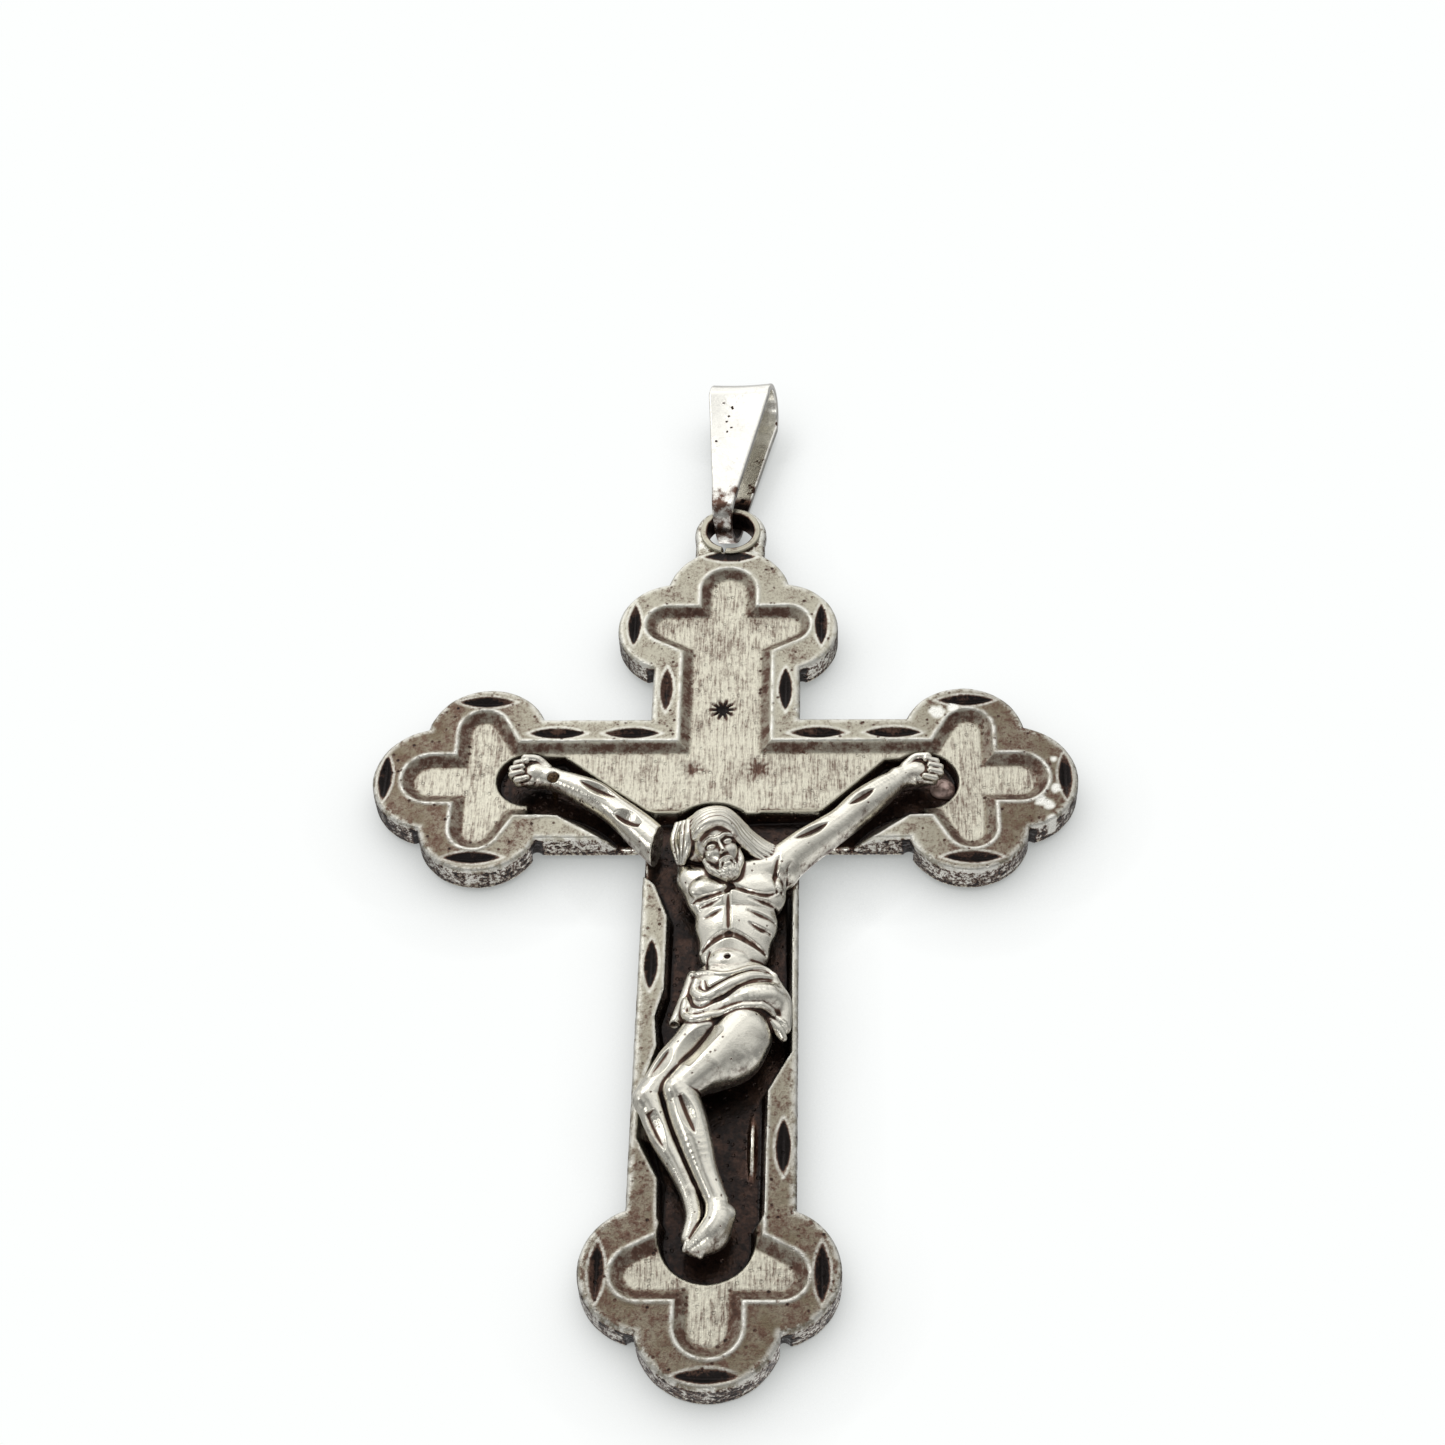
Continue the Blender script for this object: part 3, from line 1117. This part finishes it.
def build_arm_fragment(cell):
    clay = Clay((-15.2, -8.4, CORPUS_BACK - 0.2), (-3.4, 1.9, 2.2), cell)
    arm = [
        (-11.25, -0.25, 0.1, 0.72),
        (-9.9, -0.95, 0.22, 0.88),
        (-8.4, -1.8, 0.3, 1.02),
        (-7.25, -2.75, 0.35, 0.96),
        (-6.05, -3.9, 0.42, 1.05),
        (-5.0, -5.0, 0.46, 1.15),
        (-4.0, -6.1, 0.5, 1.18),
        (-3.2, -6.9, 0.5, 1.18),
    ]
    clay.strand(arm, 0)
    sculpt_hand(clay, (-11.2, -0.25), -1)
    clay.facet((-9.7, -0.95), (-6.5, -2.75), 0.95, 0.42)
    clay.facet((-7.4, -3.6), (-5.2, -5.05), 0.85, 0.4)
    x, y, z = clay.axes()
    # The slanting, slightly ragged break below the shoulder
    past_break = turned(x - BREAK_AT[0], y - BREAK_AT[1], BREAK_TURN)[0]
    ragged = 0.08 * ripple(y, z, 0.9, 11) + 0.10 * (z - 0.5)
    field = round_max(clay.field, past_break + ragged, 0.06)
    clay.fill(np.maximum(field, CORPUS_BACK - z))
    x, y = NAIL_AT
    clay.cut([Rod((x, y, -2, 0.2), (x, y, 3, 0.2))], 0.02)
    clay.cut([Rod((x, y, nail_high[2] - FRONT + 0.1, 0.42), (x, y, 3, 0.42))], 0.1)
    return skin_object("broken_arm", clay, heights_from_border(), wear_marks)


def heights_from_border():
    place = np.eye(4)
    place[2, 3] = FRONT
    return place


# ---------------------------------------------------------------- finishes

BRIGHT_SILVER = (0.93, 0.915, 0.85, 1)
RUBBED_SILVER = (0.96, 0.93, 0.82, 1)
WARM_SILVER = (0.56, 0.53, 0.425, 1)
PALE_PANEL = (0.81, 0.775, 0.64, 1)
WORN_EDGE = (0.98, 0.97, 0.9, 1)
OLIVE_TARNISH = (0.175, 0.135, 0.083, 1)
BROWN_TARNISH = (0.15, 0.086, 0.064, 1)
DARK_TARNISH = (0.010, 0.006, 0.005, 1)
PINK_SOLDER = (0.62, 0.47, 0.42, 1)
NAIL_BROWN = (0.16, 0.10, 0.05, 1)


class Nodes:
    """Builds shader nodes. Their inputs are numbers, colours or the outputs of other nodes."""

    def __init__(self, owner):
        owner.use_nodes = True
        self.tree = owner.node_tree

    def put(self, socket, value):
        if isinstance(value, bpy.types.NodeSocket):
            self.tree.links.new(value, socket)
        else:
            socket.default_value = value

    def node(self, kind, inputs=None, **settings):
        """A new node with its settings, and its inputs given by name or number."""
        node = self.tree.nodes.new("ShaderNode" + kind)
        for key, value in settings.items():
            setattr(node, key, value)
        for key, value in (inputs or {}).items():
            self.put(node.inputs[key], value)
        return node

    def combine(self, operation, first, *others):
        """Takes two or more values together with one operation."""
        for other in others:
            first = self.node("Math", {0: first, 1: other}, operation=operation).outputs[0]
        return first

    def total(self, *values):
        return self.combine("ADD", *values)

    def times(self, *values):
        return self.combine("MULTIPLY", *values)

    def most(self, *values):
        return self.combine("MAXIMUM", *values)

    def remainder(self, value):
        """What is left of 1."""
        return self.combine("SUBTRACT", 1.0, value)

    def fade(self, value, low, high, out_low=0.0, out_high=1.0, shape="SMOOTHSTEP"):
        """Runs from one output to the other while the value runs from low to high."""
        inputs = {"Value": value, "From Min": low, "From Max": high, "To Min": out_low, "To Max": out_high}
        return self.node("MapRange", inputs, interpolation_type=shape).outputs["Result"]

    def end_with(self, output, share, first, second):
        """The tree's result: two shaders mixed, with the share of the second one."""
        mixed = self.node("MixShader", {0: share, 1: first, 2: second}).outputs[0]
        self.node(output, {"Surface": mixed})


class Finish(Nodes):
    """A material put together from small procedural steps, with its textures laid out in millimetres."""

    def __init__(self, name):
        self.material = bpy.data.materials.new(name)
        super().__init__(self.material)
        self.surface = self.tree.nodes["Principled BSDF"]
        coords = self.node("TexCoord").outputs
        self.normal = coords["Normal"]
        in_mm = self.node("VectorMath", {0: coords["Object"], "Scale": 1 / MM}, operation="SCALE")
        self.place = in_mm.outputs[0]

    def blend(self, share, a, b):
        return self.node("Mix", {"Factor": share, 6: a, 7: b}, data_type="RGBA").outputs[2]

    def attribute(self, name):
        return self.node("Attribute", attribute_name=name).outputs["Fac"]

    def attributes(self, names):
        return [self.attribute(name) for name in names.split()]

    def facing_foot(self):
        """How much the skin faces the foot of the cross, from 0 to 1."""
        upward = self.node("SeparateXYZ", {0: self.normal}).outputs["Z"]
        return self.fade(upward, -0.2, -0.85)

    def noise(self, size, detail=3.0, roughness=0.6, stretch=(1, 1, 1)):
        place = self.node("VectorMath", {0: self.place, 1: stretch}, operation="DIVIDE").outputs[0]
        inputs = {"Vector": place, "Scale": 1 / size, "Detail": detail, "Roughness": roughness}
        return self.node("TexNoise", inputs).outputs["Fac"]

    def pits(self, spacing, size, scarcity):
        """1 inside scattered round pits, 0 elsewhere. Scarcity from 0 to 1 leaves more of them out."""
        cells = self.node("TexVoronoi", {"Vector": self.place, "Scale": 1 / spacing}).outputs
        chosen = self.combine("GREATER_THAN", cells["Color"], scarcity)
        round_pit = self.fade(cells["Distance"], size / spacing, size / spacing * 0.4)
        return self.times(round_pit, chosen)

    def bumps(self, *layers):
        """The skin's normal with (height, depth in millimetres) layers laid over it, one after another."""
        normal = None
        for height, depth in layers:
            inputs = {"Height": height, "Distance": depth * MM, "Strength": 1.0}
            if normal is not None:
                inputs["Normal"] = normal
            normal = self.node("Bump", inputs).outputs["Normal"]
        return normal

    def tarnished(self, bare, grime):
        """Bare metal that goes brown, then nearly black, as the grime rises from 0 to 1."""
        brown = self.blend(self.fade(grime, 0.05, 0.6), bare, BROWN_TARNISH)
        return self.blend(self.fade(grime, 0.5, 1.0), brown, DARK_TARNISH)

    def apply(self, colour, roughness, metallic, normal):
        inputs = {"Base Color": colour, "Roughness": roughness, "Metallic": metallic, "Normal": normal}
        for key, value in inputs.items():
            self.put(self.surface.inputs[key], value)
        return self.material


def plate_finish():
    f = Finish("cast_silver")
    crevice, panel, bevel, wall, lens, star = f.attributes("crevice panel bevel wall lens star")
    pocket_zone, pocket_side, gap = f.attributes("pocket pocket_side ring_gap")
    dulled, notch, bare_spot = f.attributes("dulled notch bare")
    rims = f.most(*f.attributes("rim lip lens_lip"))
    cloud = f.noise(2.4, 4, 0.65)
    speckle = f.noise(0.22, 3, 0.75)
    grain = f.noise(0.7, 4, 0.7)
    hatch = f.noise(0.13, 3, 0.6, (1, 1, 10))
    pits = f.pits(0.5, 0.15, 0.55)
    border = f.remainder(f.most(panel, bevel, pocket_zone))
    worn_rims = f.times(rims, f.fade(grain, 0.3, 0.6, 0.2, 1.0))
    worn_edge = f.times(f.attribute("outer_edge"), f.fade(grain, 0.62, 0.42, 0.1, 1.0), 0.85)
    worn = f.most(worn_rims, worn_edge, bare_spot)
    grime = f.total(
        f.times(f.fade(cloud, 0.38, 0.72), 0.2),
        f.times(f.fade(speckle, 0.42, 0.66), f.fade(border, 0.0, 1.0, 0.1, 0.24)),
        f.times(f.fade(grain, 0.42, 0.7), f.fade(border, 0.0, 1.0, 0.12, 0.2)),
        f.times(dulled, border, f.fade(grain, 0.35, 0.6, 0.02, 0.16)),
        f.times(f.fade(crevice, 0.05, 0.4), 0.22),
        f.times(bevel, f.fade(grain, 0.35, 0.65, 0.24, 0.44)),
        f.times(pocket_zone, f.fade(cloud, 0.35, 0.65, 0.9, 0.6)),
        f.times(pocket_side, -0.3),
        f.times(lens, f.fade(cloud, 0.4, 0.6, 0.9, 0.35)),
        f.times(star, 1.2),
        f.times(gap, 0.7),
        f.times(wall, f.fade(speckle, 0.36, 0.6, 0.1, 0.85)),
        notch,
        f.times(panel, f.fade(hatch, 0.42, 0.62), 0.2),
        f.times(pits, border, 0.5),
        f.times(f.fade(crevice, -0.1, -0.35), -0.5),
        f.times(worn, -0.6),
        f.times(bare_spot, -0.6),
    )
    dull = f.times(dulled, border, f.fade(cloud, 0.3, 0.7, 0.95, 0.55))
    bare = f.blend(panel, f.blend(dull, WARM_SILVER, OLIVE_TARNISH), PALE_PANEL)
    colour = f.tarnished(f.blend(worn, bare, WORN_EDGE), grime)
    roughness = f.total(0.3, f.times(speckle, 0.2), f.times(pocket_zone, -0.2), f.times(worn, -0.12))
    metallic = f.fade(grime, 0.5, 1.0, 1.0, 0.6)
    normal = f.bumps(
        (f.times(speckle, f.remainder(pocket_zone)), 0.035),
        (grain, 0.05),
        (f.times(pits, -1.0), 0.04),
        (f.times(hatch, panel), 0.05),
    )
    return f.apply(colour, roughness, metallic, normal)


def corpus_finish():
    f = Finish("corpus_silver")
    crevice, shade, low = f.attributes("crevice shade low")
    speckle = f.noise(0.2, 3, 0.7)
    grain = f.noise(0.5, 4, 0.7)
    cloud = f.noise(1.4, 4, 0.6)
    pits = f.pits(0.6, 0.1, 0.55)
    grime = f.total(
        f.times(f.fade(crevice, 0.0, 0.22), 0.6),
        f.times(f.fade(shade, 0.05, 0.5), 0.22),
        f.times(f.facing_foot(), f.fade(grain, 0.35, 0.65, 0.05, 0.3)),
        f.times(low, f.fade(speckle, 0.38, 0.66), 0.5),
        f.times(f.fade(cloud, 0.45, 0.7), 0.16),
        f.times(f.fade(grain, 0.5, 0.75), 0.2),
        f.times(pits, 0.4),
    )
    roughness = f.total(0.12, f.times(speckle, 0.14), f.times(grime, 0.25), f.times(low, 0.15))
    metallic = f.fade(grime, 0.5, 1.0, 1.0, 0.6)
    normal = f.bumps((speckle, 0.01), (grain, 0.018), (f.times(pits, -1.0), 0.03))
    return f.apply(f.tarnished(RUBBED_SILVER, grime), roughness, metallic, normal)


def bail_finish():
    f = Finish("bail_silver")
    inside, tip, foot, pitted = f.attributes("inside tip foot pitted")
    cloud = f.noise(1.6, 4, 0.6)
    patches = f.noise(0.9, 5, 0.65)
    speckle = f.noise(0.15, 3, 0.7)
    grime = f.total(
        f.times(inside, f.fade(cloud, 0.58, 0.64), 0.6),
        f.times(inside, foot, 0.9),
        f.times(inside, 0.1),
        f.times(tip, f.fade(patches, 0.3, 0.6), 0.5),
        f.times(f.fade(patches, 0.5, 0.62), 0.16),
        pitted,
    )
    roughness = f.total(0.16, f.times(speckle, 0.12), f.times(grime, 0.2))
    normal = f.bumps((cloud, 0.04), (patches, 0.012))
    return f.apply(f.tarnished(BRIGHT_SILVER, grime), roughness, 1.0, normal)


def ring_finish():
    f = Finish("ring_silver")
    crevice, bore = f.attributes("crevice bore")
    cloud = f.noise(0.7, 4, 0.65)
    speckle = f.noise(0.12, 3, 0.7)
    grime = f.total(
        f.times(f.fade(crevice, 0.05, 0.3), 0.7),
        f.times(bore, 0.7),
        f.times(f.fade(cloud, 0.42, 0.7), 0.35),
        f.times(f.fade(crevice, -0.2, -0.5), -0.3),
    )
    roughness = f.total(0.22, f.times(speckle, 0.2))
    return f.apply(f.tarnished(WARM_SILVER, grime), roughness, 1.0, f.bumps((speckle, 0.006)))


def solder_finish():
    f = Finish("solder")
    cloud = f.noise(0.6, 4, 0.7)
    in_crevices = f.fade(f.attribute("crevice"), 0.0, 0.3)
    grime = f.total(f.times(in_crevices, 0.5), f.times(f.fade(cloud, 0.4, 0.7), 0.5))
    roughness = f.fade(cloud, 0.3, 0.7, 0.35, 0.6)
    return f.apply(f.tarnished(PINK_SOLDER, grime), roughness, 0.8, f.bumps((cloud, 0.04)))


def nail_finish():
    f = Finish("nail_metal")
    cloud = f.noise(0.25, 4, 0.7)
    colour = f.blend(f.fade(cloud, 0.35, 0.7), NAIL_BROWN, DARK_TARNISH)
    return f.apply(colour, f.fade(cloud, 0.3, 0.7, 0.3, 0.6), 0.85, f.bumps((cloud, 0.03)))


# The shade that the table takes under and close to the pendant
SHADE_COLOUR = (0.16, 0.17, 0.16, 1)
SHADE_REACH = 5.5
SHADE_TOWARDS = (-0.1, -0.9, 0.35)


def shade_sheet_finish():
    """The table: clear apart from the soft shade close to the pendant, and unseen from behind."""
    material = bpy.data.materials.new("table_shade")
    sheet = Nodes(material)
    sheet.tree.nodes.clear()
    towards = sheet.node("CombineXYZ", dict(enumerate(SHADE_TOWARDS))).outputs[0]
    occlusion = sheet.node("AmbientOcclusion", {"Distance": SHADE_REACH * MM, "Normal": towards}, samples=12)
    shade = sheet.fade(occlusion.outputs["AO"], 0.1, 0.97, 0.85, 0.0, "LINEAR")
    front = sheet.remainder(sheet.node("NewGeometry").outputs["Backfacing"])
    in_camera = sheet.node("LightPath").outputs["Is Camera Ray"]
    # The sheet disappears when it is seen almost edge-on
    facing = sheet.node("LayerWeight").outputs["Facing"]
    flat_on = sheet.fade(facing, 0.7, 0.88, 1.0, 0.0, "LINEAR")
    clear = sheet.node("BsdfTransparent").outputs[0]
    dark = sheet.node("Emission", {"Color": SHADE_COLOUR}).outputs[0]
    sheet.end_with("OutputMaterial", sheet.times(shade, flat_on, front, in_camera), clear, dark)
    return material


# ---------------------------------------------------------------- stage, lights and camera

TABLE_REACH = 400.0


def build_stage():
    """A pale table behind the pendant, which lies on the table with its foot and the back of its bail."""
    foot = np.array([0, plate_low[1], 0])
    along = np.array([0, bail_high[1] - 3.5, bail_low[2] - 0.02]) - foot
    along *= TABLE_REACH / np.linalg.norm(along)
    across = np.array([TABLE_REACH, 0, 0])
    corners = foot + np.array([-along - across, across - along, along + across, along - across])
    mesh = bpy.data.meshes.new("table")
    mesh.from_pydata((to_row(corners) * MM).tolist(), [], [(0, 1, 2, 3)])
    mesh.materials.append(shade_sheet_finish())
    table = bpy.data.objects.new("table", mesh)
    bpy.context.scene.collection.objects.link(table)
    table.visible_shadow = False
    table.visible_diffuse = False
    table.visible_glossy = False


# What polished metal sees, from straight down (0) over the horizon to straight up (1): place and brightness
STUDIO_STOPS = [(0.0, 0.75), (0.3, 0.65), (0.5, 0.3), (0.72, 0.55), (0.88, 0.85), (0.96, 1.08), (1.0, 1.15)]
STUDIO_UP = (-0.1, -0.5, 0.86)
BACKGROUND = (0.985, 1.0, 0.992, 1)


def build_world():
    """A white studio, which polished metal sees brighter overhead and greyer towards the floor."""
    world = bpy.data.worlds.new("studio")
    bpy.context.scene.world = world
    studio = Nodes(world)
    studio.tree.nodes.clear()
    direction = studio.node("TexCoord").outputs["Generated"]
    up = Vector(STUDIO_UP).normalized()
    height = studio.node("VectorMath", {0: direction, 1: up}, operation="DOT_PRODUCT").outputs["Value"]
    share = studio.node("Math", {0: height, 1: 0.5, 2: 0.5}, operation="MULTIPLY_ADD").outputs[0]
    shades = studio.node("ValToRGB", {"Fac": share})
    elements = shades.color_ramp.elements
    elements.remove(elements[1])
    elements[0].position = STUDIO_STOPS[0][0]
    for place, _ in STUDIO_STOPS[1:]:
        elements.new(place)
    for element, (_, value) in zip(elements, STUDIO_STOPS):
        element.color = (value, value, value, 1)
    patches = studio.node("TexNoise", {"Vector": direction, "Scale": 2.2, "Detail": 1.0}).outputs["Fac"]
    strength = studio.fade(patches, 0.35, 0.6, 0.45, 1.1, "LINEAR")
    reflected = studio.node("Background", {"Color": shades.outputs["Color"], "Strength": strength}).outputs[0]
    plain = studio.node("Background", {"Color": BACKGROUND}).outputs[0]
    in_camera = studio.node("LightPath").outputs["Is Camera Ray"]
    studio.end_with("OutputWorld", in_camera, reflected, plain)


# Square lamps: name, place and size in plan millimetres, and power in watts
SOFTBOXES = [
    ("overhead", (-120, 160, 240), 90, 0.05),
    ("left", (-260, -30, 150), 60, 0.03),
    ("camera_side", (-20, -150, 130), 60, 0.02),
    ("behind", (0, 60, -300), 220, 0.12),
]


def add_softbox(name, place, size, power):
    """A lamp that faces the cross."""
    light = bpy.data.lights.new(name, "AREA")
    light.size = size * MM
    light.energy = power
    lamp = bpy.data.objects.new(name, light)
    lamp.location = Vector((place[0], -place[2], place[1])) * MM
    lamp.rotation_euler = (-lamp.location).to_track_quat("-Z", "Y").to_euler()
    bpy.context.scene.collection.objects.link(lamp)


# The photograph's viewpoint: turned about the cross's normal, tipped towards the foot, and rolled
CAMERA_FOCAL = 62.57
CAMERA_SENSOR = 36
CAMERA_TIP = 0.6767
CAMERA_DISTANCE = 168.0
CAMERA_ROLL = -0.0579
CAMERA_YAW = -0.0688
CAMERA_AIM = (-0.166, 4.577)


def build_camera():
    data = bpy.data.cameras.new("photo_view")
    data.lens = CAMERA_FOCAL
    data.sensor_width = CAMERA_SENSOR
    data.clip_start = MM
    data.clip_end = 10
    camera = bpy.data.objects.new("photo_view", data)
    bpy.context.scene.collection.objects.link(camera)
    bpy.context.scene.camera = camera
    yaw = Matrix.Rotation(-CAMERA_YAW, 3, "Z")
    right = yaw @ Vector((1, 0, 0))
    up = yaw @ Vector((0, math.cos(CAMERA_TIP), math.sin(CAMERA_TIP)))
    back = yaw @ Vector((0, -math.sin(CAMERA_TIP), math.cos(CAMERA_TIP)))
    turned_right = right * math.cos(CAMERA_ROLL) + up * math.sin(CAMERA_ROLL)
    turned_up = up * math.cos(CAMERA_ROLL) - right * math.sin(CAMERA_ROLL)
    place = back * CAMERA_DISTANCE + Vector((*CAMERA_AIM, FRONT))
    matrix = Matrix([Vector((v.x, -v.z, v.y)) for v in (turned_right, turned_up, back)]).transposed().to_4x4()
    matrix.translation = Vector((place.x, -place.z, place.y)) * MM
    camera.matrix_world = matrix


def build_looks():
    scene = bpy.context.scene
    scene.view_settings.view_transform = "Standard"
    build_stage()
    build_world()
    for softbox in SOFTBOXES:
        add_softbox(*softbox)
    build_camera()


# ---------------------------------------------------------------- the pieces

FINE = 1.0
PIECES = [
    (build_plate, 0.1, plate_finish, "cross", "cross_plate", "cast_silver"),
    (build_corpus, 0.06, corpus_finish, "cross", "corpus", "corpus_silver"),
    (build_arm_fragment, 0.05, corpus_finish, "cross", "arm_fragment", "corpus_silver"),
    (build_nail, 0.03, nail_finish, "cross", "hand_nail", "nail_metal"),
    (build_solder, 0.05, solder_finish, "cross", "hand_solder", "solder"),
    (build_ring, 0.04, ring_finish, "ring", "suspension_ring", "ring_silver"),
    (build_bail, 0.06, bail_finish, "bail", "bail", "bail_silver"),
]

finishes = {}
for build, cell_size, finish, body, node, slot in PIECES:
    piece = build(cell_size * FINE)
    if finish not in finishes:
        finishes[finish] = finish()
    piece.data.materials.append(finishes[finish])
    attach(piece, body)
    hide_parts(node)

build_looks()
